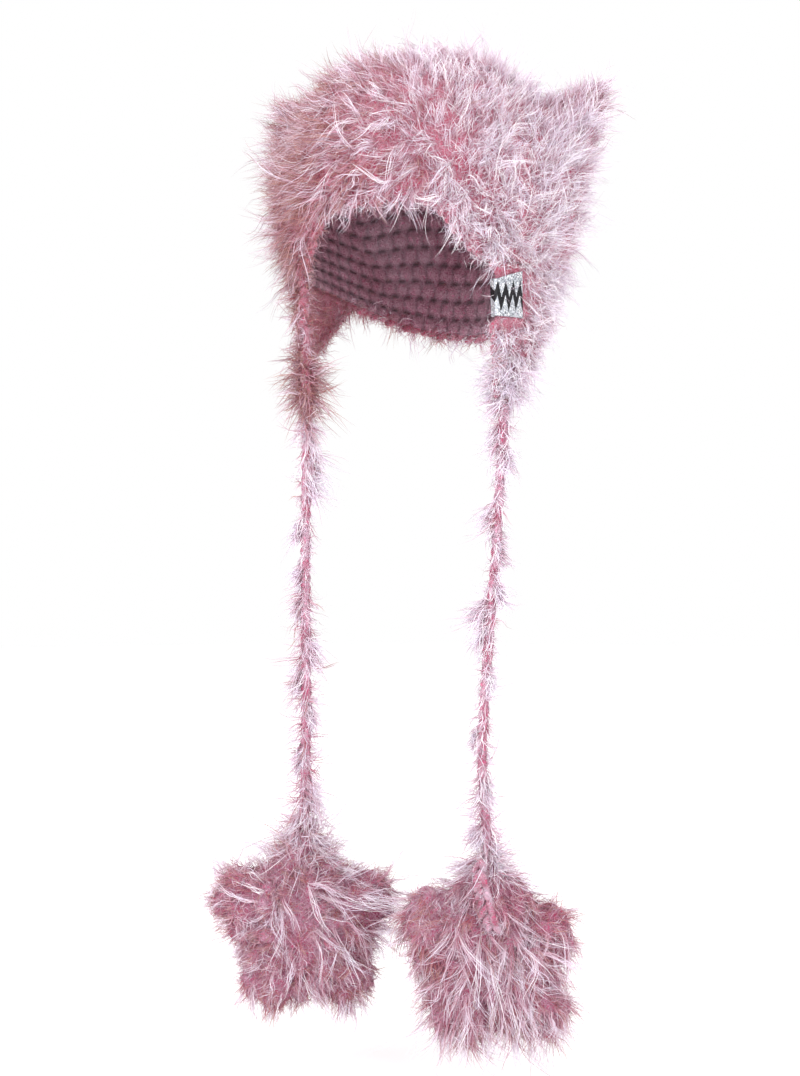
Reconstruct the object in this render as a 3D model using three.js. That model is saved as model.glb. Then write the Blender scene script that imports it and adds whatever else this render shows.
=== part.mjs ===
// A knitted bonnet of long-haired yarn: a folded bag whose two upper corners stand up as cat ears,
// an earflap on each side, and a tie from each flap that ends in a stuffed star.
// Millimetres, +Z up. The face looks along -Y, and +X is the wearer's left.
// The origin is the inside top of the crown, where the top of the head sits.

import * as THREE from "three";
import { mergeVertices } from "three/addons/utils/BufferGeometryUtils.js";

// Head room, measured inside the knit
const HEAD_HALF_WIDTH = 75.5;
const HEAD_HALF_DEPTH = 95.5;

// The knit, and the gap between pieces that touch
const KNIT_WALL = 3.5;
const SEAT_GAP = 0.3;

// How far the hem lies below the origin
const FOREHEAD_RIM = 94;
const CHEEK_RIM = 124;
const SIDE_RIM = 129;
const NAPE_RIM = 152;

// Cat ears, the corners of the folded bag
const EAR_REACH = 106; // from the middle to the tip
const EAR_HALF_THICKNESS = 8.5;
const EAR_SWEEP = 17; // how far the tips stand back
const EAR_TABLE = {
  left: { tipBelow: 13, saddle: 12 },
  right: { tipBelow: 4, saddle: 10 },
};

// Places along the fold, as shares of the ear's reach
const DOME_END = 0.28;
const EAR_START = 0.82;
const SADDLE_PLACE = 0.7;
const SADDLE_SPREAD = 0.13;

// The front and back turn into the sides from this sine of the angle round the head, and the
// ears' sweep fades out between these shares of the way down to the hem
const SIDE_START = 0.3;
const SWEEP_FADE = { from: 0.15, to: 0.8 };

// Earflaps
const FLAP_DROP = 87.5; // from the hem to the tip
const FLAP_LEAN = 4; // how far the tip leans in

// Fur
const FUR_BACKING = 1;
const LOCK_ROOT = 3.4; // the narrowest patch that a lock grows from
const CROWN_LOCK_LEFT = 9;
const CROWN_LOCK_RIGHT = 14;
const FLAP_LOCK = 9;
const STAR_LOCK = 10;

// The form of a lock, as shares of its length, and of its root for the taper
const LOCK_WAIST = { rise: 0.5, lean: 0.12, taper: 0.3 };
const LOCK_TIP = { rise: 0.82, lean: 0.6 };

// How the fur is brushed: up at the top, down at the hem, and out to the sides
const BRUSH = { up: 0.9, down: -0.8, out: 0.4 };
const BRUSH_TURN = { low: -CHEEK_RIM, high: -0.4 * FOREHEAD_RIM };
const PARTING_HALF_WIDTH = 60;
const STAR_BRUSH = { out: 0.65, down: -0.2 };

// Ties
const TIE_DIAMETER = 7;
const TIE_SIDES = 8;
const TIE_STEPS = 16;

// Stars
const STAR_REACH = 52; // centre to the tip of a plain arm, without fur
const STAR_VALLEY = 31; // centre to the notch between two arms
const STAR_HALF_THICKNESS = 17;
const STAR_ROUNDNESS = 0.8; // below 1 the arms are blunt
const STAR_TURN = THREE.MathUtils.degToRad(20);

// Label, folded round the front edge of one flap
const LABEL_SIDE = "left";
const LABEL_WIDTH = 23;
const LABEL_FRONT_HEIGHT = 20.5;
const LABEL_BACK_HEIGHT = 27;
const LABEL_TILT = 2; // how far the free end stands up
const LABEL_THICKNESS = 0.8;
const LABEL_INNER_LEG = 11;
const LABEL_TOP = 14; // below the flap's upper edge
const LABEL_FOLD = { ahead: 1.6, chamfer: 0.6 }; // a share of the skin, and millimetres

// Sections of the crown from the fold, where it is doubled over, to the hem, in two tables with
// the same rows. front and back are shares of the half depth, and their drops are shares of the
// way down to the hem.
const CROWN_PROFILE = [
  { front: 0, frontDrop: 0, back: 0, backDrop: 0 },
  { front: 0.24, frontDrop: 0.012, back: 0.24, backDrop: 0.008 },
  { front: 0.46, frontDrop: 0.055, back: 0.46, backDrop: 0.035 },
  { front: 0.66, frontDrop: 0.14, back: 0.66, backDrop: 0.09 },
  { front: 0.82, frontDrop: 0.27, back: 0.82, backDrop: 0.175 },
  { front: 0.92, frontDrop: 0.42, back: 0.92, backDrop: 0.29 },
  { front: 0.975, frontDrop: 0.58, back: 0.98, backDrop: 0.42 },
  { front: 1, frontDrop: 0.73, back: 1, backDrop: 0.56 },
  { front: 1, frontDrop: 0.86, back: 1, backDrop: 0.71 },
  { front: 0.995, frontDrop: 0.94, back: 0.985, backDrop: 0.86 },
  { front: 0.985, frontDrop: 1, back: 0.95, backDrop: 1 },
];

// reach goes from 0 at the ear's reach to 1 at the head's half width, sideDrop is a share of the
// way down to the hem, pinch flattens a section towards the ears, and edge is a share of the
// ear's half thickness.
const CROWN_SIDES = [
  { reach: 0, sideDrop: 0, pinch: 3, edge: 0 },
  { reach: 0, sideDrop: 0.02, pinch: 3, edge: 0.62 },
  { reach: 0, sideDrop: 0.055, pinch: 3, edge: 0.88 },
  { reach: 0.01, sideDrop: 0.12, pinch: 3, edge: 1 },
  { reach: 0.04, sideDrop: 0.22, pinch: 2.7, edge: 1.1 },
  { reach: 0.11, sideDrop: 0.35, pinch: 2.3, edge: 1.3 },
  { reach: 0.23, sideDrop: 0.49, pinch: 1.9, edge: 1.55 },
  { reach: 0.4, sideDrop: 0.63, pinch: 1.55, edge: 1.8 },
  { reach: 0.6, sideDrop: 0.76, pinch: 1.25, edge: 2 },
  { reach: 0.82, sideDrop: 0.89, pinch: 1.1, edge: 2 },
  { reach: 1, sideDrop: 1, pinch: 1, edge: 2 },
];
const CROWN_ROWS = 13;
const CROWN_COLUMNS = 40;

// The hem, by the angle from the middle of the forehead, in degrees
const HEM = [
  { angle: 0, below: FOREHEAD_RIM },
  { angle: 22, below: FOREHEAD_RIM },
  { angle: 47, below: CHEEK_RIM },
  { angle: 90, below: SIDE_RIM },
  { angle: 180, below: NAPE_RIM },
];

// A flap's front and back edges, by the angle round the head, from its upper edge to its tip
const FLAP_SECTIONS = [
  { down: 0, front: 53, back: 114 },
  { down: 0.16, front: 53.5, back: 107 },
  { down: 0.32, front: 54.3, back: 97 },
  { down: 0.48, front: 55, back: 86 },
  { down: 0.64, front: 55.8, back: 77.5 },
  { down: 0.8, front: 57, back: 70.5 },
  { down: 0.92, front: 58, back: 65.5 },
  { down: 1, front: 58.8, back: 63.8 },
];
const FLAP_COLUMNS = 6;

// The ties hang from the flap tips: millimetres below the tip, and outward from it
const TIE_ROUTES = {
  left: [
    { below: 0, sway: 0 },
    { below: 30, sway: -1.5 },
    { below: 60, sway: -3.5 },
    { below: 95, sway: -5.5 },
    { below: 120, sway: -8 },
    { below: 145, sway: -10 },
    { below: 180, sway: -12.5 },
    { below: 210, sway: -14 },
    { below: 240, sway: -12.5 },
    { below: 267, sway: -10 },
  ],
  right: [
    { below: 0, sway: 0 },
    { below: 30, sway: 0.2 },
    { below: 60, sway: 0.6 },
    { below: 90, sway: 0.9 },
    { below: 120, sway: 0.8 },
    { below: 150, sway: 0.5 },
    { below: 185, sway: 0.4 },
    { below: 215, sway: 0.7 },
    { below: 240, sway: 1.1 },
    { below: 261, sway: 1.5 },
  ],
};

// The arms of each star as it hangs: degrees from straight up, towards the wearer's left, and
// the share of the plain reach
const STAR_ARMS = {
  left: [
    { turn: 0, reach: 1.22 },
    { turn: 69, reach: 0.96 },
    { turn: 136, reach: 1.14 },
    { turn: 205, reach: 0.98 },
    { turn: 306, reach: 1.06 },
  ],
  right: [
    { turn: 0, reach: 1.2 },
    { turn: 64, reach: 1.08 },
    { turn: 140, reach: 1.02 },
    { turn: 212, reach: 1.02 },
    { turn: 297, reach: 1.12 },
  ],
};
const STAR_COLUMNS_PER_ARM = 4;
const STAR_RINGS = [0.34, 0.64, 0.87, 1];

const SIDES = { left: 1, right: -1 };
const WELD = 1e-3; // corners nearer than this are one
const OUTER_HALF_WIDTH = HEAD_HALF_WIDTH + KNIT_WALL;
const OUTER_HALF_DEPTH = HEAD_HALF_DEPTH + KNIT_WALL;

const { degToRad, lerp, smoothstep, clamp } = THREE.MathUtils;

// Smooth value of one column of a table at a place between its rows
function columnAt(rows, column, place) {
  const index = Math.min(Math.floor(place), rows.length - 2);
  const t = place - index;
  const value = (i) => rows[clamp(i, 0, rows.length - 1)][column];
  const [p0, p1, p2, p3] = [value(index - 1), value(index), value(index + 1), value(index + 2)];
  const slopeIn = (p2 - p0) / 2;
  const slopeOut = (p3 - p1) / 2;
  const t2 = t * t;
  const t3 = t2 * t;
  return (2 * t3 - 3 * t2 + 1) * p1 + (t3 - 2 * t2 + t) * slopeIn
    + (-2 * t3 + 3 * t2) * p2 + (t3 - t2) * slopeOut;
}

// How far the hem lies below the origin at an angle round the head
function hemBelow(angle) {
  const degrees = Math.abs(THREE.MathUtils.radToDeg(Math.atan2(Math.sin(angle), Math.cos(angle))));
  const index = clamp(HEM.findIndex((row) => row.angle >= degrees), 1, HEM.length - 1);
  const before = HEM[index - 1];
  const after = HEM[index];
  return lerp(before.below, after.below, smoothstep(degrees, before.angle, after.angle));
}

// Height of the doubled fold at a share of the way from the middle to an ear's tip
function foldHeight(share) {
  const ear = share < 0 ? EAR_TABLE.right : EAR_TABLE.left;
  const out = Math.abs(share);
  const dip = ear.saddle * Math.exp(-(((out - SADDLE_PLACE) / SADDLE_SPREAD) ** 2));
  return lerp(KNIT_WALL, -ear.tipBelow, smoothstep(out, DOME_END, EAR_START)) - dip;
}

// A point of the crown. level goes from 0 at the fold to 1 at the hem, angle is 0 at the
// forehead and a quarter turn at the wearer's left ear, offset is outward from the knit.
function crownPoint(level, angle, offset) {
  const place = level * (CROWN_PROFILE.length - 1);
  const profile = (column) => columnAt(CROWN_PROFILE, column, place);
  const sides = (column) => columnAt(CROWN_SIDES, column, place);
  const sine = Math.sin(angle);
  const cosine = Math.cos(angle);
  const facing = cosine >= 0 ? "front" : "back";
  const toSide = smoothstep(Math.abs(sine), SIDE_START, 1);
  const edge = sides("edge") * EAR_HALF_THICKNESS;
  const spread = Math.min(place, 1) * offset;
  const flatness = Math.abs(cosine) < WELD ? 0 : Math.abs(cosine);
  const depth = (profile(facing) * OUTER_HALF_DEPTH - edge) * flatness ** sides("pinch")
    + (edge + spread) * Math.sqrt(flatness);
  const sweep = EAR_SWEEP * toSide * (1 - smoothstep(level, SWEEP_FADE.from, SWEEP_FADE.to));
  const drop = lerp(profile(`${facing}Drop`), sides("sideDrop"), toSide);
  return new THREE.Vector3(
    (lerp(EAR_REACH, OUTER_HALF_WIDTH, sides("reach")) + offset) * sine,
    sweep - Math.sign(cosine) * depth,
    lerp(foldHeight(sine) + offset, -hemBelow(angle), drop),
  );
}

// Collects the faces of one closed solid
class Faces {
  constructor() {
    this.corners = [];
  }

  triangle(a, b, c) {
    this.corners.push(a, b, c);
  }

  quad(a, b, c, d) {
    this.triangle(a, b, c);
    this.triangle(a, c, d);
  }

  // A tapered, bent lock of fur that grows from a four-sided patch
  lock(patch, length, lean) {
    const [a, b, c, d] = patch;
    const middle = a.clone().add(b).add(c).add(d).multiplyScalar(1 / patch.length);
    const normal = c.clone().sub(a).cross(d.clone().sub(b)).normalize();
    const grown = ({ rise, lean: bend }) => normal.clone().multiplyScalar(rise * length)
      .addScaledVector(lean, bend * length);
    const waist = patch.map((p) => p.clone().lerp(middle, LOCK_WAIST.taper).add(grown(LOCK_WAIST)));
    const tip = middle.clone().add(grown(LOCK_TIP));
    patch.forEach((corner, i) => {
      const next = (i + 1) % patch.length;
      this.quad(corner, patch[next], waist[next], waist[i]);
      this.triangle(waist[i], waist[next], tip);
    });
  }

  // A patch as it is, or with a lock on it
  patch(corners, hasLock, length, lean) {
    if (hasLock) this.lock(corners, length, lean);
    else this.quad(...corners);
  }

  // Turns the solid into its mirror image across the middle of the head
  mirror() {
    this.corners = this.corners.map((p) => p.clone().setX(-p.x));
    for (let i = 0; i < this.corners.length; i += 3) {
      [this.corners[i + 1], this.corners[i + 2]] = [this.corners[i + 2], this.corners[i + 1]];
    }
  }

  geometry() {
    const flat = this.corners.flatMap((p) => [p.x, p.y, p.z]);
    const loose = new THREE.BufferGeometry();
    loose.setAttribute("position", new THREE.Float32BufferAttribute(flat, 3));
    return mergeVertices(loose, WELD);
  }
}

// Grid of points: a row of levels by a row of angles
function grid(rows, columns, pointAt) {
  return rows.map((row) => columns.map((column) => pointAt(row, column)));
}

// Width of a patch across its narrowest middle line
function narrowest([a, b, c, d]) {
  const mid = (p, q) => p.clone().add(q).multiplyScalar(0.5);
  return Math.min(mid(a, b).distanceTo(mid(c, d)), mid(b, c).distanceTo(mid(d, a)));
}

// Which way the fur is brushed at a point
function furLean(point) {
  const out = smoothstep(Math.abs(point.x), 0, PARTING_HALF_WIDTH) * Math.sign(point.x);
  const high = smoothstep(point.z, BRUSH_TURN.low, BRUSH_TURN.high);
  return new THREE.Vector3(BRUSH.out * out, 0, lerp(BRUSH.down, BRUSH.up, high));
}

// Whether a patch of a chequered grid carries a lock
function carriesLock(row, column, patch) {
  return (row + column) % 2 === 0 && narrowest(patch) > LOCK_ROOT;
}

// Even steps from 0 to 1
function steps(count) {
  return Array.from({ length: count + 1 }, (_, i) => i / count);
}

const levels = steps(CROWN_ROWS);
const angles = steps(CROWN_COLUMNS).slice(0, -1).map((share) => share * 2 * Math.PI);

// The fur stands out further on the wearer's right
function crownLock(point) {
  return lerp(CROWN_LOCK_RIGHT, CROWN_LOCK_LEFT, smoothstep(point.x, -HEAD_HALF_WIDTH, HEAD_HALF_WIDTH));
}

// A bag of even thickness that follows the crown, open at the hem
function bag(innerOffset, outerOffset, furry) {
  const faces = new Faces();
  const outer = grid(levels, angles, (level, angle) => crownPoint(level, angle, outerOffset));
  const inner = grid(levels, angles, (level, angle) => crownPoint(level, angle, innerOffset));
  for (let column = 0; column < CROWN_COLUMNS; column += 1) {
    const next = (column + 1) % CROWN_COLUMNS;
    for (let row = 0; row < CROWN_ROWS; row += 1) {
      const patch = [outer[row][column], outer[row + 1][column], outer[row + 1][next], outer[row][next]];
      const hasLock = furry && carriesLock(row, column, patch);
      faces.patch(patch, hasLock, crownLock(patch[0]), furLean(patch[0]));
      faces.quad(inner[row][column], inner[row][next], inner[row + 1][next], inner[row + 1][column]);
    }
    const hem = CROWN_ROWS;
    faces.quad(outer[hem][column], inner[hem][column], inner[hem][next], outer[hem][next]);
  }
  return faces.geometry();
}

// Angle of a flap's front or back edge. down goes from 0 at the hem to 1 at the tip.
function flapEdge(edge, down) {
  const index = clamp(FLAP_SECTIONS.findIndex((row) => row.down >= down), 1, FLAP_SECTIONS.length - 1);
  const before = FLAP_SECTIONS[index - 1];
  const after = FLAP_SECTIONS[index];
  const t = (down - before.down) / (after.down - before.down);
  return degToRad(lerp(before[edge], after[edge], t));
}

// A point of the wearer's left flap by the angle round the head. offset is outward from the knit.
function flapAround(down, angle, offset) {
  const hem = crownPoint(1, angle, offset);
  const squeeze = 1 - (FLAP_LEAN / OUTER_HALF_WIDTH) * down;
  const height = lerp(hem.z - SEAT_GAP, -CHEEK_RIM - FLAP_DROP, down);
  return new THREE.Vector3(hem.x * squeeze, hem.y * squeeze, height);
}

// The same by the share of the way from the flap's front edge to its back edge
function flapPoint(down, across, offset) {
  return flapAround(down, lerp(flapEdge("front", down), flapEdge("back", down), across), offset);
}

// True where the label lies over the flap, so that no lock grows there
function underLabel(down, across) {
  return down < 0.5 && across < 0.5;
}

function earflap(name) {
  const faces = new Faces();
  const rows = FLAP_SECTIONS.map((row) => row.down);
  const columns = steps(FLAP_COLUMNS);
  const outer = grid(rows, columns, (down, across) => flapPoint(down, across, 0));
  const inner = grid(rows, columns, (down, across) => flapPoint(down, across, -KNIT_WALL));
  const lastRow = rows.length - 1;
  const edgeWall = (a, b, row, column, nextRow, nextColumn) => faces.quad(
    a[row][column], b[row][column], b[nextRow][nextColumn], a[nextRow][nextColumn],
  );
  for (let row = 0; row < lastRow; row += 1) {
    for (let column = 0; column < FLAP_COLUMNS; column += 1) {
      const corners = (face) => [
        face[row][column], face[row + 1][column], face[row + 1][column + 1], face[row][column + 1],
      ];
      const bare = name === LABEL_SIDE && underLabel(rows[row], columns[column]);
      const patch = corners(outer);
      faces.patch(patch, !bare && carriesLock(row, column, patch), FLAP_LOCK, furLean(patch[0]));
      const [a, b, c, d] = corners(inner);
      faces.quad(a, d, c, b);
    }
    edgeWall(outer, inner, row, 0, row + 1, 0);
    edgeWall(inner, outer, row, FLAP_COLUMNS, row + 1, FLAP_COLUMNS);
  }
  for (let column = 0; column < FLAP_COLUMNS; column += 1) {
    edgeWall(inner, outer, 0, column, 0, column + 1);
    edgeWall(outer, inner, lastRow, column, lastRow, column + 1);
  }
  if (SIDES[name] < 0) faces.mirror();
  return faces.geometry();
}

// Points that a tie follows
function tieRoute(name) {
  const tip = flapPoint(1, 0.5, -KNIT_WALL / 2);
  return TIE_ROUTES[name].map(({ below, sway }) => new THREE.Vector3(
    SIDES[name] * (tip.x + sway),
    tip.y,
    tip.z - SEAT_GAP - below,
  ));
}

function tieGeometry(name) {
  const section = new THREE.Shape(steps(TIE_SIDES).slice(0, -1).map((share) => {
    const angle = share * 2 * Math.PI;
    return new THREE.Vector2(Math.cos(angle), Math.sin(angle)).multiplyScalar(TIE_DIAMETER / 2);
  }));
  return new THREE.ExtrudeGeometry(section, {
    steps: TIE_STEPS,
    extrudePath: new THREE.CatmullRomCurve3(tieRoute(name)),
  });
}

// Distance from a star's centre to its edge in one direction
function starEdge(arms, column) {
  const arm = arms[Math.floor(column / STAR_COLUMNS_PER_ARM) % arms.length];
  const next = arms[(Math.floor(column / STAR_COLUMNS_PER_ARM) + 1) % arms.length];
  const share = (column % STAR_COLUMNS_PER_ARM) / STAR_COLUMNS_PER_ARM;
  const nextTurn = next.turn > arm.turn ? next.turn : next.turn + 360;
  const nearer = share < 0.5 ? arm : next;
  const crest = (0.5 + 0.5 * Math.cos(2 * Math.PI * share)) ** STAR_ROUNDNESS;
  return {
    turn: degToRad(lerp(arm.turn, nextTurn, share)),
    reach: lerp(STAR_VALLEY, STAR_REACH * nearer.reach, crest),
  };
}

// A stuffed star in its own frame: it lies in the XZ plane and bulges along Y
function starGeometry(arms) {
  const faces = new Faces();
  const columns = arms.length * STAR_COLUMNS_PER_ARM;
  const point = (ring, column, facing) => {
    const { turn, reach } = starEdge(arms, column % columns);
    const out = reach * ring;
    const bulge = STAR_HALF_THICKNESS * Math.sqrt(Math.max(0, 1 - ring * ring));
    return new THREE.Vector3(out * Math.sin(turn), facing * bulge, out * Math.cos(turn));
  };
  for (const facing of [-1, 1]) {
    const centre = new THREE.Vector3(0, facing * STAR_HALF_THICKNESS, 0);
    for (let column = 0; column < columns; column += 1) {
      const wind = (corners) => (facing < 0 ? corners : corners.reverse());
      faces.triangle(...wind([
        centre, point(STAR_RINGS[0], column + 1, facing), point(STAR_RINGS[0], column, facing),
      ]));
      for (let ring = 0; ring < STAR_RINGS.length - 1; ring += 1) {
        const patch = wind([
          point(STAR_RINGS[ring], column, facing),
          point(STAR_RINGS[ring], column + 1, facing),
          point(STAR_RINGS[ring + 1], column + 1, facing),
          point(STAR_RINGS[ring + 1], column, facing),
        ]);
        const lean = point(1, column + 0.5, facing).setLength(STAR_BRUSH.out);
        lean.z += STAR_BRUSH.down;
        const tied = column === 0 || column === columns - 1;
        const rim = ring === STAR_RINGS.length - 2;
        faces.patch(patch, rim ? !tied : (ring + column) % 2 === 0, STAR_LOCK, lean);
      }
    }
  }
  return faces.geometry();
}

// A strip folded round the front edge of the flap. Its free end outside stands higher than its
// fold, and its skin is the distance of a face from the knit.
function labelGeometry() {
  const flapHeight = FLAP_DROP + CHEEK_RIM - SIDE_RIM;
  const radius = (OUTER_HALF_WIDTH + OUTER_HALF_DEPTH) / 2;
  const middle = -KNIT_WALL / 2;
  const outside = (share) => (skin) => ({ along: share * LABEL_WIDTH, offset: skin });
  const inside = (share) => (skin) => ({ along: share * LABEL_INNER_LEG, offset: -KNIT_WALL - skin });
  const fold = (facing) => (skin) => ({
    along: -LABEL_FOLD.ahead * skin,
    offset: middle + facing * (KNIT_WALL / 2 + skin - LABEL_FOLD.chamfer),
  });
  // From the free end outside to the free end inside
  const path = [
    ...[1, 0.75, 0.5, 0.25, 0].map(outside), fold(1), fold(-1), ...[0, 0.5, 1].map(inside),
  ];
  const point = (step, face, edge) => {
    const { along, offset } = path[step](SEAT_GAP + face * LABEL_THICKNESS);
    const share = clamp(along / LABEL_WIDTH, 0, 1);
    const rise = (LABEL_BACK_HEIGHT - LABEL_FRONT_HEIGHT) * share;
    const top = LABEL_TOP - LABEL_TILT * share - rise;
    const down = (top + edge * (LABEL_FRONT_HEIGHT + rise)) / flapHeight;
    return flapAround(down, flapEdge("front", down) + along / radius, offset);
  };
  const faces = new Faces();
  const last = path.length - 1;
  for (let step = 0; step < last; step += 1) {
    const corner = (ahead, face, edge) => point(step + ahead, face, edge);
    faces.quad(corner(0, 1, 0), corner(1, 1, 0), corner(1, 1, 1), corner(0, 1, 1));
    faces.quad(corner(0, 0, 1), corner(1, 0, 1), corner(1, 0, 0), corner(0, 0, 0));
    faces.quad(corner(0, 0, 0), corner(1, 0, 0), corner(1, 1, 0), corner(0, 1, 0));
    faces.quad(corner(0, 1, 1), corner(1, 1, 1), corner(1, 0, 1), corner(0, 0, 1));
  }
  faces.quad(point(0, 0, 0), point(0, 1, 0), point(0, 1, 1), point(0, 0, 1));
  faces.quad(point(last, 1, 0), point(last, 0, 0), point(last, 0, 1), point(last, 1, 1));
  if (SIDES[LABEL_SIDE] < 0) faces.mirror();
  return faces.geometry();
}

const COLOURS = {
  knit: 0xb9688a,
  fur: 0xd3b0cc,
  tie: 0xd0567f,
  label: 0xc8ccd2,
};

function named(name, geometry, colour, roughness = 0.95, metalness = 0) {
  const material = new THREE.MeshStandardMaterial({ color: colour, roughness, metalness });
  const mesh = new THREE.Mesh(geometry, material);
  mesh.name = name;
  return mesh;
}

function star(name) {
  const end = tieRoute(name).at(-1);
  const arms = STAR_ARMS[name];
  const mesh = named(`star_${name}`, starGeometry(arms), COLOURS.fur);
  mesh.position.set(end.x, end.y, end.z - SEAT_GAP - STAR_REACH * arms[0].reach);
  mesh.rotation.z = STAR_TURN;
  return mesh;
}

const hat = new THREE.Group();
hat.add(named("crown", bag(-KNIT_WALL, 0, false), COLOURS.knit));
hat.add(named("crown_fur", bag(SEAT_GAP, SEAT_GAP + FUR_BACKING, true), COLOURS.fur));
hat.add(named("label", labelGeometry(), COLOURS.label, 0.4, 0.5));
Object.keys(SIDES).forEach((name) => {
  hat.add(named(`earflap_${name}`, earflap(name), COLOURS.fur));
  hat.add(named(`tie_${name}`, tieGeometry(name), COLOURS.tie));
  hat.add(star(name));
});

export default hat;
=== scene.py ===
# Looks of the cat ear hat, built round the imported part. Metres, in the row's frame: +Z up, the
# face looks along -Y, and +X is the wearer's left.
import math
from itertools import product

import bmesh
import bpy
import numpy as np
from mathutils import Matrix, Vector
from mathutils import noise as solid_noise


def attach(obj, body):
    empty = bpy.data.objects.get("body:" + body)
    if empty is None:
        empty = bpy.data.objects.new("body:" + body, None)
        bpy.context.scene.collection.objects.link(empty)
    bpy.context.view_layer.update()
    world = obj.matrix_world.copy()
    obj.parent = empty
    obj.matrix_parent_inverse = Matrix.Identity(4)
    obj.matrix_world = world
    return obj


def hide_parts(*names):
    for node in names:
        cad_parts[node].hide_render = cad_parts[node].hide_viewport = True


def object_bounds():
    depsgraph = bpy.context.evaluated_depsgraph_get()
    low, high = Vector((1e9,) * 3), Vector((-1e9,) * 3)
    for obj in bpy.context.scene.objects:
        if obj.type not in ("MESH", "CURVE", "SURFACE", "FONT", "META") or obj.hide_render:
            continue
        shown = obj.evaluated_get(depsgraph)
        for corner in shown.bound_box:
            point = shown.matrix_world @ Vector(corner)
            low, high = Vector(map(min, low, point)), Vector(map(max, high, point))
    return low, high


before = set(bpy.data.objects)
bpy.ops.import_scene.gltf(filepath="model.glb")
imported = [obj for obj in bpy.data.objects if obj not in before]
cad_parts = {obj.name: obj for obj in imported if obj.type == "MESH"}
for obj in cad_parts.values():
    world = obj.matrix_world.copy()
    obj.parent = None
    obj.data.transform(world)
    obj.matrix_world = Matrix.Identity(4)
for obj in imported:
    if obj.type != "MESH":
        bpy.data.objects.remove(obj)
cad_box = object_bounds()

MM = 0.001
SIDES = {"left": 1, "right": -1}


def table(columns, *rows):
    """Rows of values as dicts, with the columns' names given once."""
    return [dict(zip(columns.split(), row)) for row in rows]


# The photograph's camera, level, in the frame of 800 by 1076 pixels
VIEW_AZIMUTH = math.radians(20)
VIEW_DISTANCE = 1.0
VIEW_SIDESTEP = -0.018
VIEW_HEIGHT = -0.2925
FOCAL_PIXELS = 1560
PHOTO_HEIGHT = 1076
SENSOR_MM = 36

# The ties: millimetres below the flap's tip, and outward from it
TIE_ROUTES = {
    "left": table(
        "below sway",
        (0, 0), (30, -1.5), (60, -3.5), (95, -5.5), (120, -8), (145, -10),
        (180, -12.5), (210, -14), (240, -12.5), (267, -10),
    ),
    "right": table(
        "below sway",
        (0, 0), (30, 0.2), (60, 0.6), (90, 0.9), (120, 0.8), (150, 0.5),
        (185, 0.4), (215, 0.7), (240, 1.1), (261, 1.5),
    ),
}
INTO_STAR = 12 * MM
TIE_STEP = 1.5 * MM

KNIT_WALL = 3.5 * MM

# The label's zigzag, in metres, and the slope of its line
ZIGZAG = {"period": 6.5 * MM, "height": 10 * MM, "stroke": 4.4 * MM, "ragged": 3.0 * MM, "slope": -0.12}

# How the crown's fur is combed: a place in millimetres, and the way the fur lies there
CROWN_COMB = table(
    "x y z dx dy dz",
    (0, -95, -92, -0.2, -0.6, -0.7), (30, -88, -96, 0.2, -0.6, -0.7), (58, -68, -118, 0.5, -0.5, -0.2),
    (-45, -80, -108, -0.6, -0.4, -0.8), (-10, -92, -60, -0.8, -0.3, 0.1), (-50, -72, -55, -1.0, -0.2, -0.25),
    (-75, -30, -100, -0.7, -0.4, -0.6), (-85, -5, -45, -1.0, -0.2, 0.25), (-98, 15, -5, -0.9, 0.0, 0.5),
    (-35, -55, -12, -0.8, -0.2, 0.5), (10, -60, -12, -0.2, -0.2, 1.0), (55, -35, -25, 0.15, 0.0, 1.0),
    (50, -60, -60, 0.3, 0.0, 0.9), (98, 15, -12, 0.8, 0.0, 0.6), (85, -10, -60, 0.5, -0.1, 0.8),
    (76, -28, -115, 0.6, -0.2, 0.5), (0, 10, 4, -0.2, 0.0, 1.0), (0, 92, -50, 0.0, 0.5, -0.6),
    (70, 55, -60, 0.7, 0.3, -0.1), (-70, 55, -60, -0.7, 0.3, -0.1), (0, 88, -140, 0.0, 0.4, -1.0),
    (60, 55, -135, 0.4, 0.3, -0.9), (-60, 55, -135, -0.4, 0.3, -0.9),
)
COMB_REACH = 30 * MM


def smoothstep(value, low, high):
    share = np.clip((value - low) / (high - low), 0, 1)
    return share * share * (3 - 2 * share)


def unit(vectors):
    return vectors / np.maximum(np.linalg.norm(vectors, axis=-1, keepdims=True), 1e-12)


def dot(a, b):
    return (a * b).sum(-1)


# Materials
def grey(value):
    return (value, value, value)


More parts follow.
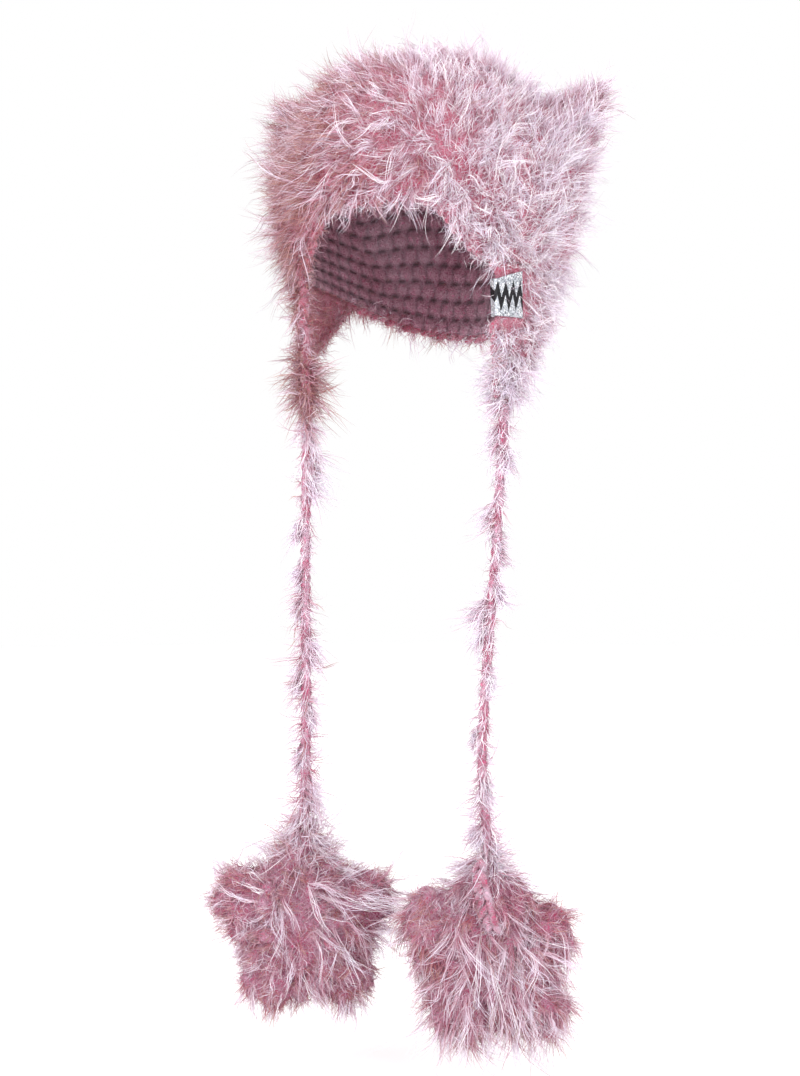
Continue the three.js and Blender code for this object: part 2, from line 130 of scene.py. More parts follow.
class Looks:
    """A material in the making, with short ways to add and link its nodes."""

    def __init__(self, name):
        self.material = bpy.data.materials.new(name)
        self.material.use_nodes = True
        self.tree = self.material.node_tree

    def feed(self, socket, value):
        """Gives a socket a number, a vector, a colour or another node's output."""
        if isinstance(value, bpy.types.NodeSocket):
            self.tree.links.new(value, socket)
        elif socket.type == "RGBA":
            socket.default_value = (*value, 1)
        else:
            socket.default_value = value

    def add(self, kind, *values, **named):
        """A new node with its first inputs fed, and further inputs and settings by name."""
        node = self.tree.nodes.new("ShaderNode" + kind)
        for name, value in named.items():
            if name in node.inputs:
                self.feed(node.inputs[name], value)
            else:
                setattr(node, name, value)
        for socket, value in zip(node.inputs, values):
            self.feed(socket, value)
        return node

    def attribute(self, name, output):
        return self.add("Attribute", attribute_name=name).outputs[output]

    def place(self):
        return self.add("TexCoord").outputs["Object"]

    def split(self, vector):
        return self.add("SeparateXYZ", vector).outputs

    def noise(self, scale, detail, distortion=0.0):
        named = {"Scale": scale, "Detail": detail, "Distortion": distortion}
        return self.add("TexNoise", self.place(), **named).outputs["Fac"]

    def math(self, operation, *values, clamp=False):
        return self.add("Math", *values, operation=operation, use_clamp=clamp).outputs["Value"]

    def ramp(self, source, *stops):
        """A colour ramp with (place, colour) stops."""
        node = self.add("ValToRGB", source)
        elements = node.color_ramp.elements
        elements.remove(elements[1])
        elements[0].position = stops[0][0]
        elements[0].color = (*stops[0][1], 1)
        for place, colour in stops[1:]:
            elements.new(place).color = (*colour, 1)
        return node.outputs["Color"]

    def mix(self, share, a, b, blend="MIX"):
        node = self.add("Mix", data_type="RGBA", blend_type=blend)
        for socket, value in zip([socket for socket in node.inputs if socket.enabled], (share, a, b)):
            self.feed(socket, value)
        return [socket for socket in node.outputs if socket.enabled][0]

    def bump(self, height, depth):
        return self.add("Bump", Distance=depth, Height=height).outputs["Normal"]

    def made(self, **sockets):
        """The material, once the shader's sockets are fed, each under its name with low lines."""
        for name, value in sockets.items():
            self.feed(self.tree.nodes["Principled BSDF"].inputs[name.replace("_", " ")], value)
        return self.material


YARN_BUMP = 0.8 * MM
GLITTER_BUMP = 0.25 * MM
# Linear colours of the long-haired yarn
CRIMSON = (0.40, 0.05, 0.10)
DEEP_ROSE = (0.47, 0.12, 0.20)
BROWN_PINK = (0.39, 0.165, 0.155)
DUSTY_PINK = (0.43, 0.245, 0.20)
ROSE = (0.51, 0.28, 0.345)
MAUVE = (0.60, 0.43, 0.50)
PINK_LILAC = (0.74, 0.62, 0.72)
LILAC = (0.80, 0.725, 0.87)
PALE = (0.93, 0.88, 0.92)


def fur_material():
    """Long hairs: the strand attribute holds the place along a hair, the tuft's tone and the hair's own."""
    looks = Looks("fur")
    along, tone, own = looks.split(looks.attribute("strand", "Vector"))
    patches = looks.math("MULTIPLY_ADD", looks.noise(160.0, 1.0), 0.5, -0.425)
    patches = looks.math("MULTIPLY_ADD", looks.noise(38.0, 2.0), 0.35, patches)
    shifted = looks.math("ADD", tone, patches, clamp=True)
    spread = looks.math("MULTIPLY_ADD", own, 0.44, -0.22)
    final = looks.math("ADD", shifted, spread, clamp=True)
    tips = looks.ramp(
        final, (0.0, BROWN_PINK), (0.14, DUSTY_PINK), (0.3, ROSE), (0.48, MAUVE), (0.66, PINK_LILAC),
        (0.83, LILAC), (0.96, PALE),
    )
    roots = looks.ramp(final, (0.0, CRIMSON), (0.5, DEEP_ROSE), (1.0, MAUVE))
    rise = looks.ramp(along, (0.08, grey(0)), (0.62, grey(1)))
    return looks.made(
        Base_Color=looks.mix(rise, roots, tips), Roughness=0.62, Specular_IOR_Level=0.35,
        Sheen_Weight=0.2, Sheen_Roughness=0.5,
    )


def yarn_material(name, dark, mid, light, patch_scale=30.0, patch_share=0.3, painted_groove_shade=False):
    """Yarn: curly fibres, lighter than the gaps between them, in colour patches.

    With painted groove shade, the mesh's rise attribute darkens the places between its stitches, as painted
    shade in the hollows.
    """
    looks = Looks(name)
    swirl = looks.noise(520.0, 2.0, distortion=1.5)
    ridge = looks.math("ABSOLUTE", looks.math("MULTIPLY_ADD", swirl, 2.0, -1.0))
    fibres = looks.ramp(ridge, (0.0, grey(1)), (0.22, grey(0.25)), (0.6, grey(0)))
    patches = looks.math("MULTIPLY", looks.noise(patch_scale, 2.0), 2 * patch_share)
    blend = looks.math("MULTIPLY_ADD", fibres, 0.75 - patch_share, patches)
    colour = looks.ramp(blend, (0.22, dark), (0.48, mid), (0.8, light))
    if painted_groove_shade:
        # Painted shade: the colour darkens to a quarter towards the bottom of the hollows between stitches
        shade = looks.ramp(looks.attribute("rise", "Fac"), (0.0, grey(0.25)), (0.75, grey(1)))
        colour = looks.mix(1.0, colour, shade, "MULTIPLY")
    return looks.made(
        Base_Color=colour, Roughness=looks.ramp(ridge, (0.0, grey(0.7)), (0.5, grey(0.95))),
        Normal=looks.bump(fibres, YARN_BUMP), Sheen_Weight=0.3, Specular_IOR_Level=0.2,
    )


def label_material(centre, sideways):
    """Silver glitter ribbon with a plain black zigzag."""
    looks = Looks("label")
    shifted = looks.add("VectorMath", looks.place(), centre, operation="SUBTRACT").outputs["Vector"]
    along = looks.add("VectorMath", shifted, sideways, operation="DOT_PRODUCT").outputs["Value"]
    period, height, ragged = ZIGZAG["period"], ZIGZAG["height"], ZIGZAG["ragged"]
    zig = looks.math("PINGPONG", along, period / 2)
    line = looks.math("MULTIPLY_ADD", zig, 2 * height / period, -height / 2)
    line = looks.math("MULTIPLY_ADD", along, ZIGZAG["slope"], line)
    away = looks.math("ABSOLUTE", looks.math("SUBTRACT", looks.split(shifted)["Z"], line))
    away = looks.math("MULTIPLY_ADD", looks.noise(700.0, 3.0), ragged, away)
    ink = looks.math("LESS_THAN", away, ZIGZAG["stroke"] + ragged / 2)
    flakes = looks.add("TexVoronoi", looks.place(), Scale=1300.0)
    tint, shine, depth = looks.split(flakes.outputs["Color"])
    silver = looks.ramp(
        tint, (0.0, (0.16, 0.17, 0.2)), (0.35, (0.42, 0.44, 0.48)), (0.8, (0.62, 0.65, 0.7)),
        (0.93, grey(1)),
    )
    return looks.made(
        Base_Color=looks.mix(ink, silver, (0.012, 0.011, 0.014)), Metallic=0.55,
        Roughness=looks.ramp(shine, (0.0, grey(0.25)), (1.0, grey(0.65))),
        Normal=looks.bump(depth, GLITTER_BUMP),
    )


# Camera
def make_camera():
    right = Vector((math.cos(VIEW_AZIMUTH), math.sin(VIEW_AZIMUTH), 0))
    back = Vector((math.sin(VIEW_AZIMUTH), -math.cos(VIEW_AZIMUTH), 0))
    data = bpy.data.cameras.new("camera")
    data.sensor_width = SENSOR_MM
    data.lens = FOCAL_PIXELS * SENSOR_MM / PHOTO_HEIGHT
    camera = bpy.data.objects.new("camera", data)
    camera.location = VIEW_SIDESTEP * right + VIEW_DISTANCE * back + Vector((0, 0, VIEW_HEIGHT))
    camera.rotation_euler = (math.pi / 2, 0, VIEW_AZIMUTH)
    bpy.context.scene.collection.objects.link(camera)
    bpy.context.scene.camera = camera


# Meshes
def add_object(name, mesh, material):
    if material:
        mesh.materials.append(material)
    piece = bpy.data.objects.new(name, mesh)
    bpy.context.scene.collection.objects.link(piece)
    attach(piece, "root")
    return piece


def add_shape(name, shape, material):
    """A piece from its points and faces."""
    return add_object(name, mesh_from(name, *shape), material)


def move_points(piece, points):
    piece.data.vertices.foreach_set("co", points.ravel())
    piece.data.update()


def mesh_from(name, points, faces):
    mesh = bpy.data.meshes.new(name)
    mesh.from_pydata(points, [], faces)
    mesh.shade_smooth()
    return mesh


def joined(shapes):
    """Several (points, faces) shapes with equal-sided faces as one."""
    starts = np.cumsum([0] + [len(points) for points, _ in shapes[:-1]])
    points = np.concatenate([points for points, _ in shapes])
    faces = np.concatenate([faces + start for (_, faces), start in zip(shapes, starts)])
    return points, faces


def threes(items, field, kind=float):
    """The three values that each vertex or triangle of a mesh holds under a name."""
    values = np.zeros(len(items) * 3, kind)
    items.foreach_get(field, values)
    return values.reshape(-1, 3)


def points_and_triangles(mesh):
    mesh.calc_loop_triangles()
    return threes(mesh.vertices, "co"), threes(mesh.loop_triangles, "vertices", int)


def welded(name):
    """A CAD node's points and triangles, with the points that meet made one."""
    points, triangles = points_and_triangles(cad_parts[name].data)
    _, first, index = np.unique(
        np.round(points, 6), axis=0, return_index=True, return_inverse=True
    )
    return points[first], index.ravel()[triangles]


def face_normals(points, faces):
    a, b, c = (points[faces[:, i]] for i in range(3))
    return np.cross(b - a, c - a)


def point_normals(points, faces):
    normals = np.zeros_like(points)
    flat = face_normals(points, faces)
    for corner in range(faces.shape[1]):
        np.add.at(normals, faces[:, corner], flat)
    return unit(normals)


def turned(normals, wanted):
    """The normals, all turned round if most of them look away from the wanted directions."""
    return -normals if dot(normals, wanted).mean() < 0 else normals


def ring_faces(rows, columns):
    """Quads of a grid of points whose rows close on themselves."""
    row, column = np.meshgrid(np.arange(rows - 1), np.arange(columns), indexing="ij")
    after = (column + 1) % columns
    return np.stack([
        row * columns + column, row * columns + after,
        (row + 1) * columns + after, (row + 1) * columns + column,
    ], axis=-1).reshape(-1, 4)


def halved(quads):
    """Quads as two triangles each."""
    return np.concatenate([quads[:, [0, 1, 2]], quads[:, [0, 2, 3]]])


def faces_by_edge(triangles):
    """The triangles that meet at each edge."""
    found = {}
    for face, corners in enumerate(triangles):
        for a, b in zip(corners, np.roll(corners, -1)):
            found.setdefault((min(a, b), max(a, b)), []).append(face)
    return found


def stations(line):
    """How far along a line each of its points lies."""
    return np.concatenate([[0], np.cumsum(np.linalg.norm(np.diff(line, axis=0), axis=1))])


def points_at(line, distances):
    """The points that far along a line."""
    along = stations(line)
    return np.stack([np.interp(distances, along, line[:, axis]) for axis in range(3)], axis=1)


# The crown's two faces, read off its CAD node as grids of points from the hem to the fold
CREASE = math.radians(50)
CROWN_COLUMNS = 40
EARS_BOTTOM = -80 * MM
CROWN_MIDDLE = np.array((0, 0, -60 * MM))


def neighbours(pairs):
    """For each number in a list of pairs, the numbers that it is paired with."""
    near = {}
    for a, b in pairs:
        near.setdefault(a, []).append(b)
        near.setdefault(b, []).append(a)
    return near


def steps_from(seeds, near):
    """For all that the seeds reach from neighbour to neighbour, how many steps away it is."""
    steps = dict.fromkeys(seeds, 0)
    front = list(seeds)
    for place in front:
        for other in near.get(place, []):
            if other not in steps:
                steps[other] = steps[place] + 1
                front.append(other)
    return steps


def smooth_parts(points, triangles):
    """The parts of a mesh between its creases, the largest first, as lists of triangles."""
    normals = unit(face_normals(points, triangles))
    near = neighbours(
        (a, b) for a, b in faces_by_edge(triangles).values() if normals[a] @ normals[b] > math.cos(CREASE)
    )
    left, parts = set(range(len(triangles))), []
    while left:
        parts.append(np.array(sorted(steps_from([min(left)], near))))
        left -= set(parts[-1])
    return sorted(parts, key=len, reverse=True)


def crown_grid(points, row_of):
    """Points by row from the hem up, and by column from the forehead towards the wearer's left."""
    angles = np.arange(CROWN_COLUMNS) * 2 * math.pi / CROWN_COLUMNS
    grid = []
    for row in range(max(row_of.values()) + 1):
        ring = points[[point for point, at in row_of.items() if at == row]]
        widest = np.abs(ring[:, 0]).max()
        side_y = ring[np.abs(ring[:, 0]).argmax(), 1]
        share = ring[:, 0] / widest
        middle = side_y * smoothstep(np.abs(share), 0.3, 1)
        in_front = ring[:, 1] <= middle + 1e-6
        behind = ring[:, 1] >= middle - 1e-6
        found = []
        for angle in angles:
            miss = np.abs(share - math.sin(angle))
            miss = miss + np.where(in_front if math.cos(angle) > 0 else behind, 0, 1)
            found.append(ring[miss.argmin()])
        grid.append(found)
    return np.array(grid)


def read_crown():
    points, triangles = welded("crown")
    parts = smooth_parts(points, triangles)
    inner, outer = sorted(parts[:2], key=lambda part: np.abs(points[triangles[part]][..., 0]).max())
    rest = np.concatenate(parts[2:])
    low = points[triangles[rest]][..., 2].max(axis=1) < EARS_BOTTOM
    band = set(triangles[rest[low]].ravel())
    grids = []
    for part in (outer, inner):
        seeds = sorted(band & set(triangles[part].ravel()))
        rows = steps_from(seeds, neighbours(faces_by_edge(triangles[part])))
        grids.append(crown_grid(points, rows))
    return grids


def spline(places, count, closed):
    """The four neighbours of each place along a row of points, and their smooth weights."""
    index = np.floor(places).astype(int)
    if not closed:
        index = np.minimum(index, count - 2)
    t = (places - index)[:, None]
    weights = np.concatenate([
        -0.5 * t + t**2 - 0.5 * t**3,
        1 - 2.5 * t**2 + 1.5 * t**3,
        0.5 * t + 2 * t**2 - 1.5 * t**3,
        -0.5 * t**2 + 0.5 * t**3,
    ], axis=1)
    near = index[:, None] + np.arange(-1, 3)
    near = near % count if closed else np.clip(near, 0, count - 1)
    matrix = np.zeros((len(places), count))
    for column in range(4):
        np.add.at(matrix, (np.arange(len(places)), near[:, column]), weights[:, column])
    return matrix


def finer(grid, rows, columns):
    """The crown's grid with that many rows and columns."""
    down = spline(np.linspace(0, len(grid) - 1, rows), len(grid), False)
    around = spline(np.arange(columns) * grid.shape[1] / columns, grid.shape[1], True)
    return np.einsum("ri,cj,ijk->rck", down, around, grid)


# Rows of stitches
def stitch_height(across, up):
    """The rise of rounded, slanted stitches at places counted in stitches."""
    row = np.floor(up)
    rise = up - row
    slant = np.where(row % 2 == 0, 0.3, -0.3) * (rise - 0.5)
    place = across + 0.5 * (row % 2) + slant
    side = 2 * (place - np.floor(place)) - 1
    high = 2 * rise - 1
    return np.sqrt(np.clip(1 - 0.85 * side**2 - 0.75 * high**2, 0, 1))


LINING_DEPTH = 2.6 * MM
INSIDE_STITCHES = 58
INSIDE_ROWS = 18
PER_STITCH = 4
FLEECE_ROWS = 61
FLAT_ROWS = 5
# Height and size of soft lumps
FLEECE_LUMPS = (3.2 * MM, 9 * MM)
STAR_LUMPS = (4 * MM, 6 * MM)


def lumps(points, normals, height, size):
    """The points moved outward into soft lumps about that size, by a fixed noise."""
    rise = np.array([
        0.7 * solid_noise.noise(Vector(point / size)) + 0.3 * solid_noise.noise(Vector(point / size * 2.3))
        for point in points
    ])
    return points + normals * (height * (0.5 + rise).clip(0, 1.2))[:, None]


def fleece(outer_grid):
    """The lumpy outer face of the crown, under its long hairs, flat again towards the fold."""
    columns = INSIDE_STITCHES * PER_STITCH
    points = finer(outer_grid, FLEECE_ROWS, columns).reshape(-1, 3)
    quads = ring_faces(FLEECE_ROWS, columns)
    normals = turned(point_normals(points, quads[:, :3]), points - CROWN_MIDDLE)
    below_fold = np.repeat(np.arange(FLEECE_ROWS)[::-1], columns)
    raised = lumps(points, normals, *FLEECE_LUMPS)
    points = points + (raised - points) * smoothstep(below_fold, 0, FLAT_ROWS)[:, None]
    return Surface(points, halved(quads), normals)


def knit_crown(fleece_points, inner_grid, outside, lining):
    columns = INSIDE_STITCHES * PER_STITCH
    rows = INSIDE_ROWS * PER_STITCH + 1
    inner = finer(inner_grid, rows, columns)
    faces = ring_faces(rows, columns)
    normals = point_normals(inner.reshape(-1, 3), faces[:, :3]).reshape(inner.shape)
    normals = turned(normals, CROWN_MIDDLE - inner)
    up, across = np.meshgrid(
        np.linspace(0, INSIDE_ROWS, rows), np.arange(columns) / PER_STITCH, indexing="ij"
    )
    lobes = stitch_height(across, up) * smoothstep(INSIDE_ROWS - up, 0, 2)
    inner = inner + normals * (LINING_DEPTH * lobes)[..., None]
    points = np.concatenate([inner.reshape(-1, 3), fleece_points])
    start = inner.size // 3
    outer_faces = ring_faces(FLEECE_ROWS, columns) + start
    column = np.arange(columns)
    after = (column + 1) % columns
    band = np.stack([column, start + column, start + after, after], axis=-1)
    mesh = mesh_from("crown_knit", points, np.concatenate([faces[:, ::-1], outer_faces, band]))
    # The stitch height, which the lining's material reads to paint shade into the hollows between stitches
    rise = mesh.attributes.new("rise", "FLOAT", "POINT")
    rise.data.foreach_set("value", np.concatenate([lobes.ravel(), np.ones(len(fleece_points))]))
    mesh.materials.append(outside)
    mesh.materials.append(lining)
    kinds = np.repeat([1, 0], [len(faces), len(outer_faces) + len(band)])
    mesh.polygons.foreach_set("material_index", kinds)
    shape = bmesh.new()
    shape.from_mesh(mesh)
    bmesh.ops.remove_doubles(shape, verts=shape.verts, dist=0.02 * MM)
    bmesh.ops.recalc_face_normals(shape, faces=shape.faces)
    shape.to_mesh(mesh)
    shape.free()
    piece = add_object("crown_knit", mesh, None)
    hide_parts("crown")
    return piece


# Flaps
FLAP_STITCH = 8 * MM
FLAP_DEPTH = 1.52 * MM
FLAP_RADIUS = 87 * MM


def flap_sheet(name):
    """The flap's inner face as its own points and triangles, read off its CAD node."""
    points, triangles = welded(f"earflap_{name}")
    normals = unit(face_normals(points, triangles))
    middle = points[triangles].mean(axis=1)
    outward = unit(middle * (1, 1, 0))
    inner = (dot(normals, outward) < -0.85) & (np.abs(normals[:, 2]) < 0.5)
    used, index = np.unique(triangles[inner], return_inverse=True)
    return points[used], index.reshape(-1, 3)


def knit_flap(name, material):
    mesh = mesh_from(f"earflap_{name}_knit", *flap_sheet(name))
    shape = bmesh.new()
    shape.from_mesh(mesh)
    bmesh.ops.join_triangles(
        shape, faces=shape.faces, angle_face_threshold=0.7, angle_shape_threshold=3.1
    )
    shape.to_mesh(mesh)
    shape.free()
    piece = add_object(f"earflap_{name}_knit", mesh, material)
    add_modifier(piece, "SOLIDIFY", thickness=KNIT_WALL, offset=-1)
    add_modifier(piece, "SUBSURF", levels=3, render_levels=3)
    apply_modifiers(piece)
    skin = surface_of(piece)
    around = np.arctan2(np.abs(skin.points[:, 0]), -skin.points[:, 1]) * FLAP_RADIUS
    lobes = stitch_height(around / FLAP_STITCH, skin.points[:, 2] / FLAP_STITCH)
    move_points(piece, skin.points + skin.normals * (FLAP_DEPTH * (lobes - 0.35))[:, None])
    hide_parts(f"earflap_{name}")
    return piece


def add_modifier(piece, kind, **settings):
    modifier = piece.modifiers.new(kind.lower(), kind)
    for name, value in settings.items():
        setattr(modifier, name, value)


def apply_modifiers(piece):
    """Makes the shape that the modifiers give the piece's own mesh."""
    graph = bpy.context.evaluated_depsgraph_get()
    made = bpy.data.meshes.new_from_object(piece.evaluated_get(graph))
    piece.modifiers.clear()
    old = piece.data
    made.name = old.name
    piece.data = made
    bpy.data.meshes.remove(old)


# The crocheted edge: fat stitches along the hem and round the flaps
RIM_PITCH = 6.4 * MM
RIM_LOBE = {"length": 5.6 * MM, "width": 3.1 * MM}
RIM_TILT = math.radians(38)
FLAP_SPAN = (math.radians(52), math.radians(114))
FLAP_LEVELS = 12
LEVEL_REACH = 9 * MM
HEM_POINTS = 240


def lobe(centre, along, sideways, sizes, rng):
    """A small rounded stitch along one direction, a little uneven in size and place, as in hand work."""
    rings, sides = 5, 7
    length, width = (sizes[key] * rng.uniform(0.85, 1.15) for key in ("length", "width"))
    centre = centre + rng.normal(0, 0.5 * MM, 3)
    other = np.cross(along, sideways)
    points, faces = [centre - along * length], []
    for ring in range(1, rings):
        tilt = math.pi * ring / rings
        for side in range(sides):
            turn = 2 * math.pi * side / sides
            around = sideways * math.cos(turn) + other * math.sin(turn)
            points.append(centre - along * length * math.cos(tilt) + around * (width * math.sin(tilt)))
    points.append(centre + along * length)
    last = len(points) - 1
    for side in range(sides):
        after = (side + 1) % sides
        faces.append([0, 1 + after, 1 + side])
        faces.append([last, last - sides + side, last - sides + after])
        for ring in range(rings - 2):
            low, high = 1 + ring * sides, 1 + (ring + 1) * sides
            faces.append([low + side, low + after, high + after])
            faces.append([low + side, high + after, high + side])
    return np.array(points), np.array(faces)


def even_points(line, pitch):
    """Points a pitch apart along a line, and the line's direction there."""
    at = np.arange(pitch / 2, stations(line)[-1], pitch)
    places = points_at(line, at)
    return places, unit(points_at(line, at + pitch / 4) - places)


def flap_edges(name):
    """The front and back edges of a flap, from its upper corners to its tip."""
    points, triangles = flap_sheet(name)
    edges = [edge for edge, faces in faces_by_edge(triangles).items() if len(faces) == 1]
    rim = points[np.unique(edges)]
    low, high = rim[:, 2].min(), rim[:, 2].max()
    lines = []
    for side in (-1, 1):
        found = []
        for level in np.linspace(high, low, FLAP_LEVELS):
            near = rim[np.abs(rim[:, 2] - level) < LEVEL_REACH]
            angle = np.arctan2(np.abs(near[:, 0]), -near[:, 1])
            found.append(near[(side * angle).argmax()])
        line = np.array(found)
        line = line[np.diff(stations(line), prepend=-1) > MM]
        lines.append(line + unit(line * (1, 1, 0)) * KNIT_WALL / 2)
    return lines


def rim_stitches(outer_grid, inner_grid, material, rng):
    hem = (finer(outer_grid, 2, HEM_POINTS)[0] + finer(inner_grid, 2, HEM_POINTS)[0]) / 2
    turn = np.arange(HEM_POINTS) * 2 * math.pi / HEM_POINTS
    from_front = np.minimum(turn, 2 * math.pi - turn)
    front = from_front < FLAP_SPAN[0]
    order = np.argsort((turn[front] + math.pi) % (2 * math.pi))
    lines = [hem[front][order], hem[from_front > FLAP_SPAN[1]]]
    for name in SIDES:
        lines += flap_edges(name)
    shapes = []
    under_label = label_guard(2 * MM)
    for line in lines:
        places, ways = even_points(line, RIM_PITCH)
        free = ~under_label(places[:, None])
        for place, way in zip(places[free], ways[free]):
            outward = unit(place * (1, 1, 0))
            edge = np.cross(way, outward)
            along = unit(way * math.cos(RIM_TILT) + edge * math.sin(RIM_TILT))
            shapes.append(lobe(place, along, outward, RIM_LOBE, rng))
    return add_shape("rim_stitches", joined(shapes), material)


def rim_fuzz(stitches, material, rng):
    fuzz = coat(
        FUZZ, tufts=1150, per_tuft=4, segments=4, length=(5, 13), radius=1.5, width=0.44, tone=0.14,
        curl=2.3,
    )
    hairs = grow(surface_of(stitches), one_way(0, -0.3, -1), crown_tone, rng, fuzz)
    return fur_piece("rim_fuzz", without([hairs], label_guard()), material)


# Stars
def star_body(name, material):
    """The star's stuffed body: the CAD solid with its locks smoothed away."""
    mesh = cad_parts[f"star_{name}"].data.copy()
    mesh.materials.clear()
    mesh.name = f"star_{name}_body"
    piece = add_object(f"star_{name}_body", mesh, material)
    add_modifier(piece, "REMESH", mode="VOXEL", voxel_size=2.5 * MM)
    add_modifier(piece, "SMOOTH", factor=0.5, iterations=12)
    apply_modifiers(piece)
    skin = surface_of(piece)
    move_points(piece, lumps(skin.points, skin.normals, *STAR_LUMPS))
    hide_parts(f"star_{name}")
    return piece


# The tie's last stitches show down the front of the wearer's left star
SEAM = {"stitches": 8, "drop": 30 * MM, "drift": 9 * MM, "rise": 1.5 * MM, "clearance": 3.2 * MM}
SEAM_LOBE = {"length": 4.4 * MM, "width": 2.3 * MM}


def seam_places(body, start):
    """Where the stitches sit on the front of the star's body."""
    skin = surface_of(body).points
    places = []
    for share in np.linspace(-0.1, 1, SEAM["stitches"]):
        place = start + np.array((SEAM["drift"] * share, 0, -SEAM["drop"] * share))
        near = skin[np.linalg.norm((skin - place)[:, [0, 2]], axis=1) < 3 * MM]
        if len(near):
            place[1] = near[:, 1].min() - SEAM["rise"]
            places.append(place)
    return np.array(places)


def seam_stitches(name, places, material, rng):
    shapes = []
    for place in places:
        for side in (-1, 1):
            along = unit(np.array((0.55 * side, -0.2, -1.0)))
            middle = place + (2.1 * MM * side, 0, 0)
            shapes.append(lobe(middle, along, np.array((0, -1, 0)), SEAM_LOBE, rng))
    return add_shape(f"star_{name}_seam", joined(shapes), material)


def seam_guard(places):
    """Tells which hairs lie over the stitches."""
    def crosses(hairs):
        gap = np.linalg.norm((hairs[:, :, None] - places)[..., [0, 2]], axis=-1).min(axis=(1, 2))
        return (gap < SEAM["clearance"]) & (hairs[..., 1].min(axis=1) < places[:, 1].max())

    return crosses


def seam_fuzz(name, seam, material, rng):
    fuzz = coat(FUZZ, tufts=150, per_tuft=4, length=(4, 9), radius=1.0, width=0.32)
    hairs = grow(surface_of(seam), one_way(0, -0.3, -1), one_tone(0.6), rng, fuzz)
    return fur_piece(f"star_{name}_seam_fuzz", [hairs], material)


# Fur
class Surface:
    """Triangles that fur grows from, with smooth normals."""

    def __init__(self, points, triangles, normals=None):
        self.points, self.triangles = points, triangles
        self.normals = point_normals(points, triangles) if normals is None else normals
        self.areas = np.linalg.norm(face_normals(points, triangles), axis=1) / 2

    def sample(self, count, rng):
        reached = np.cumsum(self.areas)
        places = (np.arange(count) + rng.random(count)) / count * reached[-1]
        face = np.searchsorted(reached, places).clip(0, len(reached) - 1)
        u, v = rng.random((2, count, 1))
        flip = u + v > 1
        u, v = np.where(flip, 1 - u, u), np.where(flip, 1 - v, v)
        corners = self.triangles[face]
        mixed = [
            field[corners[:, 0]] * (1 - u - v) + field[corners[:, 1]] * u + field[corners[:, 2]] * v
            for field in (self.points, self.normals)
        ]
        return mixed[0], unit(mixed[1])

    def part(self, keep):
        """The triangles whose middle and normal pass a test."""
        middles = self.points[self.triangles].mean(axis=1)
        normals = unit(self.normals[self.triangles].mean(axis=1))
        return Surface(self.points, self.triangles[keep(middles, normals)], self.normals)


def surface_of(piece):
    return Surface(*points_and_triangles(piece.data), threes(piece.data.vertices, "normal"))


def place_and_way(row):
    """A table row's place, in metres, and the way that the fur lies there."""
    way = np.array((row["dx"], row["dy"], row["dz"]), float)
    return np.array((row["x"], row["y"], row["z"])) * MM, unit(way)


def comb_from(rows):
    """A field of directions that follows a comb table."""
    places, ways = (np.array(found) for found in zip(*map(place_and_way, rows)))

    def field(points, normals):
        gap = np.linalg.norm(points[:, None] - places[None], axis=-1)
        weights = 1 / (gap**2 + COMB_REACH**2) ** 2
        return unit(weights @ ways)

    return field


def one_way(*way):
    """A comb that lays all hairs the same way."""
    return lambda points, normals: np.tile(unit(np.array(way, float)), (len(points), 1))


def one_tone(tone):
    return lambda points: np.full(len(points), tone)


def any_perpendicular(vectors, rng):
    return unit(np.cross(vectors, rng.normal(size=vectors.shape)))


